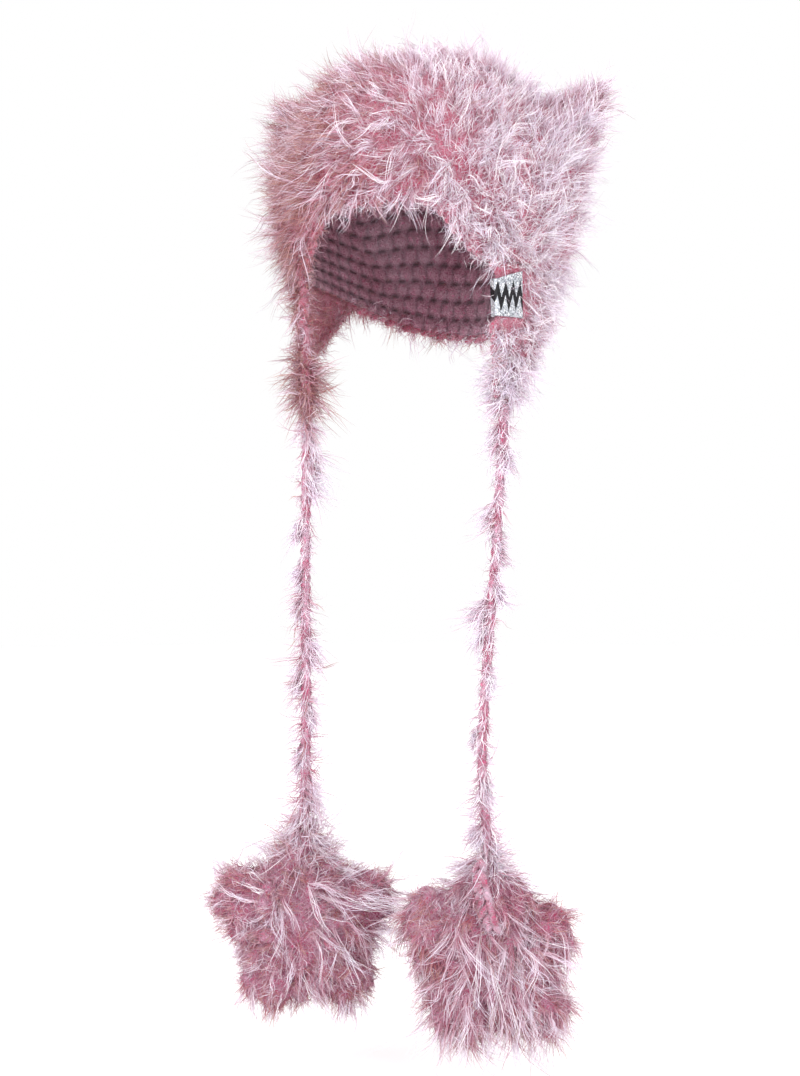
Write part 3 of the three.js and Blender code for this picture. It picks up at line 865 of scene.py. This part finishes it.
def grow(surface, comb, tone, rng, coat):
    """Hairs as rows of points in pairs up to the tip, and what the strand attribute holds there."""
    tufts, per_tuft, segments = coat["tufts"], coat["per_tuft"], coat["segments"]
    centres, normals = surface.sample(tufts, rng)
    flow = comb(centres, normals)
    flow = unit(flow - normals * dot(flow, normals)[:, None] * coat["lay"])
    axis = unit(flow + normals * coat["lift"] + rng.normal(0, coat["scatter"], (tufts, 3)))
    axis = unit(axis + normals * np.maximum(0, 0.15 - dot(axis, normals))[:, None])
    bend = any_perpendicular(axis, rng) * rng.uniform(0, coat["bend"], (tufts, 1))
    sway = any_perpendicular(axis, rng) * rng.uniform(0.3, 1, (tufts, 1)) * coat["sway"] * MM
    sway_phase = rng.uniform(0, 2 * math.pi, (tufts, 1, 1))
    reach = rng.uniform(*coat["length"], tufts) * MM
    tones = tone(centres) + rng.normal(0, coat["tone_spread"], tufts) + coat["tone"]

    tuft = np.repeat(np.arange(tufts), per_tuft)
    count = len(tuft)
    t = np.linspace(0, 1, segments + 1)[None, :, None]
    side_a = any_perpendicular(normals[tuft], rng)
    offset = side_a * np.sqrt(rng.random((count, 1))) * coat["radius"] * MM
    own = (reach[tuft] * rng.uniform(0.55, 1.05, count))[:, None, None]
    way = unit(axis[tuft] + rng.normal(0, coat["spread"], (count, 3)))[:, None]
    across = any_perpendicular(way[:, 0], rng)[:, None]
    other = np.cross(way[:, 0], across[:, 0])[:, None]
    phase = rng.uniform(0, 2 * math.pi, (count, 1, 1))
    turns = coat["turns"] * rng.uniform(0.6, 1.3, (count, 1, 1)) * 2 * math.pi
    curl = coat["curl"] * MM * rng.uniform(0.4, 1.2, (count, 1, 1)) * np.minimum(1, 2 * t)
    path = (centres[tuft] - normals[tuft] * 0.8 * MM)[:, None]
    path = path + offset[:, None] * (1 - coat["clump"] * t**0.7) + way * own * t
    path = path + bend[tuft][:, None] * own * t**2
    path = path + sway[tuft][:, None] * np.sin(sway_phase[tuft] + 2 * math.pi * coat["waves"] * t) * t
    path = path + curl * (np.sin(turns * t + phase) * across + np.cos(turns * t + phase) * other)
    path[..., 2] -= coat["droop"] * own[..., 0] * t[..., 0] ** 2

    tangent = unit(np.gradient(path, axis=1))
    facing = unit(normals[tuft] + rng.normal(0, 0.5, (count, 3)))[:, None]
    side = unit(np.cross(tangent, facing))
    width = coat["width"] * MM * rng.uniform(0.6, 1.3, (count, 1, 1)) * (1 - 0.75 * t**2)
    left, right = path - side * width / 2, path + side * width / 2
    body = np.stack([left[:, :-1], right[:, :-1]], axis=2).reshape(count, 2 * segments, 3)
    points = np.concatenate([body, path[:, -1:]], axis=1)

    strand = np.empty_like(points)
    strand[..., 0] = np.append(np.repeat(t[0, :-1, 0], 2), 1.0)
    strand[..., 1] = np.clip(tones, 0, 1)[tuft][:, None]
    strand[..., 2] = rng.random((count, 1))
    return points, strand


def without(coats, crosses):
    """The coats without the hairs that a test says cross a forbidden space."""
    kept = []
    for hairs, strands in coats:
        keep = ~crosses(hairs)
        kept.append((hairs[keep], strands[keep]))
    return kept


def hair_faces(count, per_hair):
    """The triangles of hairs whose points go in pairs up to the tip."""
    corners = []
    for low in range(0, per_hair - 3, 2):
        corners += [[low, low + 1, low + 3], [low, low + 3, low + 2]]
    corners.append([per_hair - 3, per_hair - 2, per_hair - 1])
    return (np.array(corners) + (np.arange(count) * per_hair)[:, None, None]).reshape(-1, 3)


PROUD_SHARE = 0.03
PROUD = 9 * MM


def too_far(hairs):
    """Tells which hairs stand too far out of the CAD box."""
    low, high = (np.array(corner) for corner in cad_box)
    proud = PROUD_SHARE * (high - low) + PROUD
    return ((hairs < low - proud) | (hairs > high + proud)).any(axis=(1, 2))


def fur_piece(name, coats, material):
    """One piece made of several coats."""
    coats = without(coats, too_far)
    shape = joined([(hairs.reshape(-1, 3), hair_faces(*hairs.shape[:2])) for hairs, _ in coats])
    piece = add_shape(name, shape, material)
    attribute = piece.data.attributes.new("strand", "FLOAT_VECTOR", "POINT")
    values = np.concatenate([strands.ravel() for _, strands in coats])
    attribute.data.foreach_set("vector", values)
    return piece


TUFTS = {
    "per_tuft": 10, "segments": 4, "lay": 0.8, "lift": 0.45, "scatter": 0.42, "bend": 0.7,
    "length": (13, 22), "tone": 0.0, "tone_spread": 0.16, "radius": 3.0, "spread": 0.2,
    "turns": 0.8, "curl": 1.5, "clump": 0.5, "droop": 0.1, "width": 0.36, "sway": 2.2, "waves": 0.9,
}


def coat(base, **values):
    """A coat like another one, apart from the values named."""
    return {**base, **values}


FUZZ = coat(
    TUFTS, per_tuft=8, segments=3, lift=0.7, scatter=0.9, length=(7, 13), tone=-0.06, radius=3.5,
    spread=0.6, turns=1.0, curl=1.9, clump=0.2, width=0.42, droop=0.0, sway=0.5, tone_spread=0.2,
)
LOCKS = coat(
    TUFTS, per_tuft=5, segments=8, length=(19, 32), lift=0.4, tone=0.4, radius=0.8, spread=0.06,
    bend=1.1, tone_spread=0.12, sway=4.0, waves=1.15, curl=0.9, turns=1.2,
)
FLYAWAYS = coat(
    TUFTS, per_tuft=1, segments=5, length=(15, 27), lift=0.9, scatter=0.55, tone=0.28, radius=1.0,
    bend=0.9, clump=0.0, width=0.22, curl=1.2, sway=2.0,
)
FRINGE = coat(
    LOCKS, per_tuft=6, length=(10, 21), lift=0.5, scatter=0.35, droop=0.6, lay=0.2, tone=0.3,
    sway=2.5,
)


def crown_tone(points):
    """Brownish pink on the wearer's right, lilac on the left, where the ear is pinker again."""
    x, z = points[:, 0], points[:, 2]
    side = smoothstep(x, -85 * MM, 85 * MM)
    cheek = smoothstep(x, 25 * MM, 75 * MM) * smoothstep(-z, 30 * MM, 90 * MM)
    ear = smoothstep(x, 70 * MM, 95 * MM) * smoothstep(z, -60 * MM, -20 * MM)
    near_flap = smoothstep(x, 40 * MM, 80 * MM) * smoothstep(-z, 120 * MM, 160 * MM)
    top = smoothstep(z, -80 * MM, 0)
    return 0.09 + 0.63 * side + 0.24 * cheek - 0.27 * ear - 0.25 * near_flap + 0.08 * top


def label_face():
    """Middle, outward direction, sideways direction and half sizes of the label's outer face."""
    points, triangles = welded("label")
    normals = face_normals(points, triangles)
    middles = points[triangles].mean(axis=1)
    outward = unit(middles * (1, 1, 0))
    front = dot(unit(normals), outward) > 0.8
    areas = np.linalg.norm(normals[front], axis=1)
    centre = (middles[front] * areas[:, None]).sum(axis=0) / areas.sum()
    facing = unit(normals[front].sum(axis=0))
    sideways = unit(np.cross(facing, (0, 0, 1)))
    rel = points[np.unique(triangles[front])] - centre
    return centre, facing, sideways, np.abs(rel @ sideways).max(), np.abs(rel[:, 2]).max()


def label_guard(margin=0.0):
    """Tells which hairs lie over the label."""
    centre, facing, sideways, half_width, half_height = label_face()

    def crosses(hairs):
        rel = hairs - centre
        inside = np.abs(rel @ sideways) < half_width + 0.5 * MM + margin
        inside &= np.abs(rel[..., 2]) < half_height - 1.5 * MM + margin
        inside &= rel @ facing > -3 * MM - 2 * margin
        return inside.any(axis=1)

    return crosses


EAR_WISPS = coat(LOCKS, length=(24, 34), lift=0.3, scatter=0.22, lay=0.2, tone=0.3)
WISPS = coat(
    LOCKS, tufts=5, per_tuft=9, length=(26, 38), lift=0.1, lay=0.0, scatter=0.25, radius=2.0,
    sway=3.0, droop=0.0, bend=0.6,
)
WISP_PATCH = 100
CROWN_WISPS = table(
    "x y z dx dy dz",
    (28, 5, 12, -0.5, 0, 1.0), (48, 5, 8, -0.1, 0, 1.0), (-30, 5, 12, -0.7, 0, 0.8),
    (-90, -5, -18, -0.9, -0.2, 0.6), (-92, -15, -55, -1.0, -0.2, 0.3), (-90, -20, -90, -1.0, -0.2, -0.2),
    (112, 15, -8, 0.8, 0.1, 0.5),
)


def wisps(surface, rows, origin, tone, rng, look):
    """Long tufts at chosen places, from the origin, each with its own way to lie."""
    middles = surface.points[surface.triangles].mean(axis=1)
    made = []
    for row in rows:
        place, way = place_and_way(row)
        near = np.linalg.norm(middles - place - origin, axis=1).argsort()[:WISP_PATCH]
        patch = Surface(surface.points, surface.triangles[near], surface.normals)
        theirs = coat(look, length=row.get("length", look["length"]))
        made.append(grow(patch, one_way(*way), tone, rng, theirs))
    return made


def grown(plan, tone, rng):
    """A coat for each surface, comb and look of a plan."""
    return [grow(surface, comb, tone, rng, look) for surface, comb, look in plan]


def beside(surface, out, low=-1.0, high=1.0):
    """The surface further out to the sides than that, and between two levels."""
    return surface.part(lambda m, n: (np.abs(m[:, 0]) > out) & (m[:, 2] > low) & (m[:, 2] < high))


def crown_fur(whole, material, rng):
    comb = comb_from(CROWN_COMB)
    crosses = label_guard()
    for end, name in product(("front", "back"), SIDES):
        front, side = end == "front", SIDES[name]
        part = whole.part(lambda m, n: ((m[:, 0] >= 0) == (side > 0)) & ((m[:, 1] < 0) == front))
        share = 1.0 if front else 0.65
        hem = beside(part, 62 * MM, high=-112 * MM)
        ridge = beside(part, 66 * MM, low=-26 * MM)
        ear = beside(part, 84 * MM, low=-70 * MM)
        tip = beside(part, 98 * MM, low=-40 * MM)
        plan = [
            (hem, one_way(0, 0, -1), coat(TUFTS, tufts=40, length=(11, 18), lift=0.3)),
            (part, comb, coat(FUZZ, tufts=int(1000 * share))),
            (part, comb, coat(TUFTS, tufts=int(560 * share))),
            (part, comb, coat(LOCKS, tufts=290)),
            (ridge, one_way(0.3 * side, 0, 1), coat(
                TUFTS, tufts=50, length=(12, 20), scatter=0.35, lift=0.5)),
            (ear, comb, coat(TUFTS, tufts=60, length=(16, 24), scatter=0.3)),
            (tip, one_way(0.85 * side, 0.2, 0.5), coat(EAR_WISPS, tufts=14)),
        ]
        if front:
            rim = part.part(lambda m, n: (m[:, 1] < -50 * MM) & (m[:, 2] < -78 * MM))
            plan.append((rim, comb, coat(FRINGE, tufts=24)))
        coats = without(grown(plan, crown_tone, rng), crosses)
        coats.append(grow(part, comb, crown_tone, rng, coat(FLYAWAYS, tufts=int(330 * share))))
        fur_piece(f"crown_fur_{end}_{name}", coats, material)
    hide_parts("crown_fur")
    fur_piece("crown_wisps", wisps(whole, CROWN_WISPS, np.zeros(3), crown_tone, rng, WISPS), material)


def crown_lining_fuzz(inner_grid, material, rng):
    """Short hairs of the same yarn inside the crown."""
    rows, columns = 27, 80
    points = finer(inner_grid, rows, columns).reshape(-1, 3)
    whole = Surface(points, halved(ring_faces(rows, columns)))
    whole.normals = turned(whole.normals, CROWN_MIDDLE - points)
    fuzz = coat(FUZZ, tufts=900, per_tuft=3, length=(4, 10), lift=0.5, tone=-0.1, width=0.3)
    hairs = grow(whole, one_way(0, 0, -1), crown_tone, rng, fuzz)
    return fur_piece("crown_lining_fuzz", [hairs], material)


def flap_fur(name, knit, material, rng):
    surface = surface_of(knit)
    middle = surface.points.mean(axis=0)
    across = unit(np.cross((0, 0, 1), middle * (1, 1, 0)))

    def comb(points, normals):
        spread = ((points - middle) @ across / (22 * MM)).clip(-1, 1)
        return unit(spread[:, None] * across + (0, 0, -0.55))

    def faces_out(middles, normals):
        return dot(normals, unit(middles * (1, 1, 0))) > -0.3

    crosses = label_guard()
    tip_level = surface.points[:, 2].min() + 30 * MM
    out = surface.part(faces_out)
    back = surface.part(lambda middles, normals: ~faces_out(middles, normals))
    tip = surface.part(lambda middles, normals: middles[:, 2] < tip_level)
    plan = [
        (out, comb, coat(FUZZ, tufts=190, length=(6, 12))),
        (out, comb, coat(TUFTS, tufts=150, length=(10, 18), curl=2.2, width=0.44, tone=0.04)),
        (out, comb, coat(LOCKS, tufts=110, length=(13, 23), sway=3.5, curl=1.6, width=0.46, lift=0.6)),
        (back, comb, coat(FUZZ, tufts=130, length=(5, 9))),
        (tip, comb, coat(
            TUFTS, tufts=100, length=(15, 27), lay=0.3, lift=0.9, scatter=0.5, tone=0.12,
            curl=2.4, width=0.5, bend=1.0)),
    ]
    coats = without(grown(plan, crown_tone, rng), crosses)
    coats.append(grow(out, comb, crown_tone, rng, coat(FLYAWAYS, tufts=150, length=(10, 20))))
    return fur_piece(f"earflap_{name}_fur", coats, material)


# The wearer's left star has long hairs combed down, the right one is curlier and rosier
STAR_COATS = {
    "left": {
        "out": 0.5, "down": 0.95, "tone": 0.39, "curl": 0.9, "locks": 300, "feathers": 12, "reach": 1.6,
    },
    "right": {
        "out": 0.8, "down": 0.35, "tone": 0.4, "curl": 1.9, "locks": 150, "feathers": 36, "reach": 1.2,
    },
}
# Single long tufts of the stars, from where the tie ends
STAR_WISPS = {
    "left": table(
        "x y z dx dy dz length",
        (-9, 0, -4, -1.0, 0, -0.35), (-20, 0, -14, -1.0, 0, -0.1),
        (-36, 0, -22, -1.0, 0, 0.2), (-50, 0, -34, -1.0, 0, 0.0),
        (20, -15, -50, 0.6, -0.2, -1.0), (35, -10, -85, 0.5, -0.1, -1.0),
        (-12, -15, -85, 0.1, -0.1, -1.0), (6, -22, -38, 0.1, 0, -1.0, (40, 60)),
        (-12, -22, -32, -0.1, 0, -1.0, (35, 55)), (22, -22, -42, 0.5, 0, -0.9, (35, 55)),
        (14, -22, -60, 0.3, 0, -1.0, (35, 50)),
    ),
    "right": table(
        "x y z dx dy dz length",
        (-9, 0, -4, -1.0, 0, -0.35), (9, 0, -4, 1.0, 0, -0.35),
        (24, 0, -16, 1.0, 0, 0.1), (45, -8, -32, 1.0, 0, 0.2),
        (55, -5, -44, 1.0, 0, -0.3), (-45, -8, -26, -0.8, 0, 0.6),
        (30, 0, -90, 0.5, 0, -1.0), (-6, -22, -24, 0.25, 0, -1.0, (38, 55)),
        (-48, -18, -18, 0.8, 0, -0.5, (25, 38)), (12, -18, -20, 1.0, 0, -0.2, (38, 55)),
        (20, -20, -45, 0.4, 0, -0.9, (30, 45)),
    ),
}


# The furthest a star's hairs may end from where the tie ends in it
STAR_REACH = 138 * MM


def star_fur(name, body, start, crosses, material, rng):
    surface = surface_of(body)
    centre = surface.points.mean(axis=0)
    look = STAR_COATS[name]
    reach, curl = look["reach"], look["curl"]

    def comb(points, normals):
        out = unit((points - centre) * (1, 0.3, 1))
        return unit(out * look["out"] - np.array((0, 0, look["down"])))

    def beyond(hairs):
        return np.linalg.norm(hairs - start, axis=-1).max(axis=1) > STAR_REACH

    plan = [
        coat(FUZZ, tufts=900, length=(7, 12), curl=curl, lift=0.6),
        coat(TUFTS, tufts=430, length=(9 * reach, 16 * reach), curl=curl, lift=0.5),
        coat(
            LOCKS, tufts=look["locks"], length=(15 * reach, 24 * reach), scatter=0.25, lift=0.18,
            tone=0.26),
        coat(
            LOCKS, tufts=look["feathers"], per_tuft=9, length=(24, 36), radius=1.2, scatter=0.4,
            lift=0.15, tone=0.4, clump=0.85, width=0.42),
        coat(FLYAWAYS, tufts=350, length=(11, 20)),
    ]
    tone = one_tone(look["tone"])
    coats = grown([(surface, comb, each) for each in plan], tone, rng)
    origin = np.array((start[0], centre[1], start[2]))
    coats += wisps(surface, STAR_WISPS[name], origin, tone, rng, coat(WISPS, length=(18, 30)))
    if crosses:
        coats = without(coats, crosses)
    return fur_piece(f"star_{name}_fur", without(coats, beyond), material)


# Ties
def tie_path(name):
    """Points down the middle of a tie, from the tip of its flap to its star."""
    points, _ = welded(f"tie_{name}")
    top = points[points[:, 2] > points[:, 2].max() - 0.5 * MM].mean(axis=0)
    rows = [
        [top[0] + SIDES[name] * row["sway"] * MM, top[1], top[2] - row["below"] * MM]
        for row in TIE_ROUTES[name]
    ]
    rows.append([rows[-1][0], rows[-1][1], rows[-1][2] - INTO_STAR])
    rows = np.array(rows)
    count = round((rows[0, 2] - rows[-1, 2]) / TIE_STEP)
    return spline(np.linspace(0, len(rows) - 1, count + 1), len(rows), False) @ rows


def tube(path, radii, sides):
    """A closed tube round a path that runs about straight down, with a radius for each of its points."""
    tangent = unit(np.gradient(path, axis=0))
    first = unit(np.cross(tangent, (0, 1, 0)))
    second = np.cross(tangent, first)
    angle = np.arange(sides) * 2 * math.pi / sides
    ring = np.cos(angle)[None, :, None] * first[:, None] + np.sin(angle)[None, :, None] * second[:, None]
    points = (path[:, None] + ring * np.broadcast_to(radii, len(path))[:, None, None]).reshape(-1, 3)
    faces = ring_faces(len(path), sides).tolist()
    faces.append(list(range(sides))[::-1])
    faces.append(list(range((len(path) - 1) * sides, len(path) * sides)))
    return points, faces


# One leg of a chain stitch: sideways and outward in mm, and along in stitches
CHAIN_PITCH = 6.6 * MM
YARN_RADIUS = 1.0 * MM
LEG = np.array([(0.35, 0.0, -0.1), (1.5, 1.1, 0.15), (2.0, 1.5, 0.5), (1.5, 1.3, 0.85), (0.45, 0.3, 1.15)])
LEG_STEPS = 9
LEG_SIDES = 6
LEG_END = 0.35


def chain(path):
    """Crochet chain stitches: pairs of yarn legs that lean together, front and back."""
    smooth = spline(np.linspace(0, len(LEG) - 1, LEG_STEPS), len(LEG), False)
    radii = YARN_RADIUS * np.sqrt(np.sin(np.linspace(LEG_END, math.pi - LEG_END, LEG_STEPS)))
    points, faces, start = [], [], 0
    for stitch in range(int(stations(path)[-1] / CHAIN_PITCH)):
        for side in (1, -1):
            for face in (1, -1):
                lag = 0.5 * (face < 0)
                centre = points_at(path, (stitch + lag + LEG[:, 2]) * CHAIN_PITCH)
                shift = LEG * (side, -face, 0) * MM
                some, theirs = tube(smooth @ (centre + shift), radii, LEG_SIDES)
                points.append(some)
                faces += [[corner + start for corner in corners] for corners in theirs]
                start += len(some)
    return np.concatenate(points), faces


# How long a tie's fuzz is, in mm, at shares of its length
TIE_FLUFF = {
    "left": table(
        "share length",
        (0.0, 14), (0.1, 11), (0.3, 9), (0.5, 11), (0.65, 12), (0.75, 17), (0.85, 20),
        (0.92, 24), (1.0, 30),
    ),
    "right": table(
        "share length",
        (0.0, 14), (0.08, 12), (0.2, 9), (0.38, 10), (0.5, 18), (0.6, 16), (0.72, 17),
        (0.82, 22), (0.9, 26), (1.0, 32),
    ),
}
TIE_TONES = {"left": 0.66, "right": 0.56}
# Single long tufts of a tie: share of its length, side that they hang to, and length in mm
TIE_WISPS = {
    "left": table(
        "share side length",
        (0.06, -1, 13), (0.1, 1, 12), (0.22, -1, 15), (0.27, 1, 10), (0.36, 1, 13), (0.4, -1, 17),
        (0.46, -1, 14), (0.55, 1, 8), (0.66, -1, 10), (0.76, 1, 11), (0.85, -1, 13), (0.9, 1, 12),
        (0.95, -1, 17), (0.98, 1, 14),
    ),
    "right": table(
        "share side length",
        (0.04, 1, 16), (0.1, 1, 20), (0.15, 1, 17), (0.24, -1, 13), (0.33, -1, 11), (0.4, -1, 12),
        (0.48, 1, 15), (0.54, -1, 15), (0.6, 1, 12), (0.7, -1, 10), (0.79, 1, 15), (0.87, -1, 13),
        (0.92, 1, 16), (0.97, -1, 18),
    ),
}
TIE_BAND = 12
TIE_RADIUS = 2.7 * MM
FUZZ_SIDES = 10


def tie_fuzz(name, path, material, rng):
    share = np.linspace(0, 1, len(path))
    fluff = TIE_FLUFF[name]
    fuzz_length = np.interp(share, [row["share"] for row in fluff], [row["length"] for row in fluff])
    points, _ = tube(path, TIE_RADIUS, FUZZ_SIDES)
    triangles = halved(ring_faces(len(path), FUZZ_SIDES))
    normals = unit(points - np.repeat(path, FUZZ_SIDES, axis=0))
    level = (triangles // FUZZ_SIDES).min(axis=1)
    tone = one_tone(TIE_TONES[name])

    def wound(points, normals):
        return unit(np.cross(normals, (0, 0, 1)) * 0.45 + (0, 0, -1))

    plan = []
    for low in range(0, len(path) - 1, TIE_BAND):
        band = Surface(points, triangles[level // TIE_BAND == low // TIE_BAND], normals)
        longest = fuzz_length[min(low + TIE_BAND // 2, len(path) - 1)]
        plan.append((band, one_way(0, 0, -1), coat(
            FUZZ, tufts=int(1.5 * longest), per_tuft=5, segments=5, width=0.5, radius=1.5,
            length=(0.7 * longest, 1.45 * longest), curl=1.5, scatter=0.5, spread=0.4, lift=1.3,
            lay=0.3, bend=1.0, tone=0.12)))
        plan.append((band, wound, coat(
            TUFTS, tufts=13, per_tuft=3, length=(9, 17), radius=1.0, width=0.55, lift=0.15,
            scatter=0.22, spread=0.1, bend=0.25, tone=0.3, curl=0.6, sway=1.0, clump=0.3)))
    for row in TIE_WISPS[name]:
        near = np.abs(level - row["share"] * (len(path) - 1)) < TIE_BAND / 3
        facing = dot(normals[triangles[:, 0]], np.array((row["side"], -0.3, 0))) > 0.3
        patch = Surface(points, triangles[near & facing], normals)
        plan.append((patch, one_way(0.8 * row["side"], -0.2, -0.75), coat(
            TUFTS, tufts=18, per_tuft=8, segments=5, length=(0.8 * row["length"], 1.6 * row["length"]),
            radius=1.5, lay=0.0, lift=0.1, scatter=0.22, tone=0.16, width=0.54, droop=0.25, bend=0.8)))
    return fur_piece(f"tie_{name}_fuzz", grown(plan, tone, rng), material)


def make_tie(name, yarn, fur, rng):
    """A tie's path, core, stitches and fuzz."""
    path = tie_path(name)
    wave = np.arange(len(path)) * 2 * math.pi * TIE_STEP / CHAIN_PITCH
    radii = (2.6 + 0.15 * np.sin(wave)) * MM
    core = add_shape(f"tie_{name}_core", tube(path, radii, 12), yarn)
    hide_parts(f"tie_{name}")
    stitches = add_shape(f"tie_{name}_stitches", chain(path), yarn)
    return path, core, stitches, tie_fuzz(name, path, fur, rng)


# Stage and light
LIGHTS = table(
    "name at size watts",
    ("key", (-0.9, -1.5, 0.7), 1.2, 22), ("fill", (1.4, -0.9, 0.2), 1.2, 12),
    ("top", (0.0, 0.3, 1.3), 1.0, 8),
)


def make_stage():
    scene = bpy.context.scene
    scene.view_settings.view_transform = "Standard"
    world = bpy.data.worlds.new("studio")
    scene.world = world
    world.use_nodes = True
    world.node_tree.nodes["Background"].inputs["Color"].default_value = (1, 1, 1, 1)
    world.node_tree.nodes["Background"].inputs["Strength"].default_value = 1.0
    shape = bmesh.new()
    bmesh.ops.create_circle(shape, cap_ends=True, segments=64, radius=4.0)
    mesh = bpy.data.meshes.new("floor")
    shape.to_mesh(mesh)
    shape.free()
    floor = bpy.data.objects.new("floor", mesh)
    floor.location.z = cad_box[0].z - 35 * MM
    mesh.materials.append(Looks("floor").made(Base_Color=grey(1), Roughness=0.9))
    scene.collection.objects.link(floor)
    for row in LIGHTS:
        data = bpy.data.lights.new(row["name"], "AREA")
        data.energy, data.size = row["watts"], row["size"]
        light = bpy.data.objects.new(row["name"], data)
        light.location = row["at"]
        aim = Vector((0, 0, -0.15)) - Vector(row["at"])
        light.rotation_euler = aim.to_track_quat("-Z", "Y").to_euler()
        scene.collection.objects.link(light)


# Putting it together
rng = np.random.default_rng(7)
make_camera()
FUR = fur_material()
KNIT = yarn_material("knit", (0.36, 0.02, 0.07), (0.56, 0.11, 0.19), (0.70, 0.36, 0.46))
STAR_YARN = yarn_material("star", (0.32, 0.03, 0.09), (0.48, 0.13, 0.23), (0.62, 0.36, 0.48))
# The lining's colour has painted shade in the hollows between its stitches
LINING = yarn_material("lining", (0.34, 0.07, 0.13), (0.56, 0.22, 0.32), (0.72, 0.45, 0.56), painted_groove_shade=True)
TIE_YARN = yarn_material("tie", (0.46, 0.02, 0.09), (0.62, 0.13, 0.25), (0.78, 0.52, 0.65), 120.0, 0.5)

ties = {name: make_tie(name, TIE_YARN, FUR, rng) for name in SIDES}
outer_grid, inner_grid = read_crown()
crown_skin = fleece(outer_grid)
knit_crown(crown_skin.points, inner_grid, KNIT, LINING)
rim = rim_stitches(outer_grid, inner_grid, KNIT, rng)
rim_fuzz(rim, FUR, rng)
crown_fur(crown_skin, FUR, rng)
crown_lining_fuzz(inner_grid, FUR, rng)
label_centre, _, label_sideways, _, _ = label_face()
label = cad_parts["label"]
label.data.materials.clear()
label.data.materials.append(label_material(label_centre, label_sideways))
for name in SIDES:
    flap = knit_flap(name, KNIT)
    flap_fur(name, flap, FUR, rng)
    body = star_body(name, STAR_YARN)
    path, core, stitches, fuzz = ties[name]
    places = seam_places(body, path[-1]) if name == "left" else None
    crosses = places is not None and seam_guard(places)
    hair = star_fur(name, body, path[-1], crosses, FUR, rng)
    on_tie = [stitches, fuzz, body, hair]
    if places is not None:
        seam = seam_stitches(name, places, TIE_YARN, rng)
        on_tie += [seam, seam_fuzz(name, seam, FUR, rng)]
make_stage()
